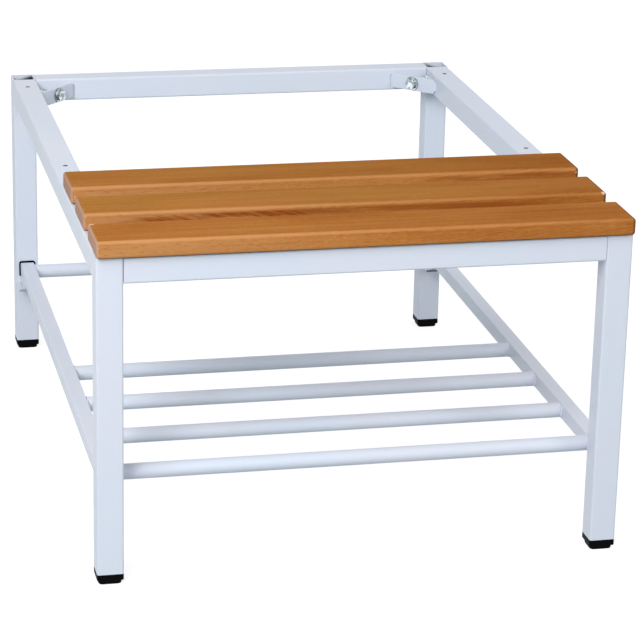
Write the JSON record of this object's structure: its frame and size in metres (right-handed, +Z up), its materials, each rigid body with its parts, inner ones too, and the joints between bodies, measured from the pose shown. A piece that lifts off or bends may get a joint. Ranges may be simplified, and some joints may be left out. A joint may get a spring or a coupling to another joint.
{
  "type": "locker room bench",
  "caption": "Floor-standing tube frame that carries a locker at the back, with a slatted beech seat in front and a shoe rack of round bars below.",
  "frame": {"origin": "on the floor, in the middle of the overall box", "axes": "+X to the right of someone facing the seat from the front, +Y from the seat to the back, +Z up"},
  "size_m": [0.6, 0.827, 0.4003],
  "materials": {
    "powder_coat": "satin light grey powder coat",
    "beech": "clear lacquered beech",
    "black_plastic": "moulded black",
    "zinc": "zinc plated"
  },
  "bodies": {
    "root": {"left_front_leg": "powder_coat", "right_front_leg": "powder_coat", "left_rear_leg": "powder_coat", "right_rear_leg": "powder_coat", "left_top_rail": "powder_coat", "right_top_rail": "powder_coat", "front_rail": "powder_coat", "rear_rail": "powder_coat", "left_lower_rail": "powder_coat", "right_lower_rail": "powder_coat", "rack_bar_1": "powder_coat", "rack_bar_2": "powder_coat", "rack_bar_3": "powder_coat", "rack_bar_4": "powder_coat", "rack_bar_5": "powder_coat", "left_rack_lug": "powder_coat", "right_rack_lug": "powder_coat", "left_front_bracket": "powder_coat", "right_front_bracket": "powder_coat", "left_rear_bracket": "powder_coat", "right_rear_bracket": "powder_coat", "front_slat": "beech", "middle_slat": "beech", "rear_slat": "beech", "left_front_foot": "black_plastic", "right_front_foot": "black_plastic", "left_rear_foot": "black_plastic", "right_rear_foot": "black_plastic", "left_rail_cap": "black_plastic", "right_rail_cap": "black_plastic", "left_front_bolt": "zinc", "left_front_washer": "zinc", "left_front_nut": "zinc", "right_front_bolt": "zinc", "right_front_washer": "zinc", "right_front_nut": "zinc", "left_rear_bolt": "zinc", "left_rear_washer": "zinc", "left_rear_nut": "zinc", "right_rear_bolt": "zinc", "right_rear_washer": "zinc", "right_rear_nut": "zinc", "front_slat_screw_1": "zinc", "front_slat_screw_2": "zinc", "front_slat_screw_3": "zinc", "front_slat_screw_4": "zinc", "middle_slat_screw_1": "zinc", "middle_slat_screw_2": "zinc", "middle_slat_screw_3": "zinc", "middle_slat_screw_4": "zinc", "rear_slat_screw_1": "zinc", "rear_slat_screw_2": "zinc", "rear_slat_screw_3": "zinc", "rear_slat_screw_4": "zinc"}
  },
  "joints": []
}
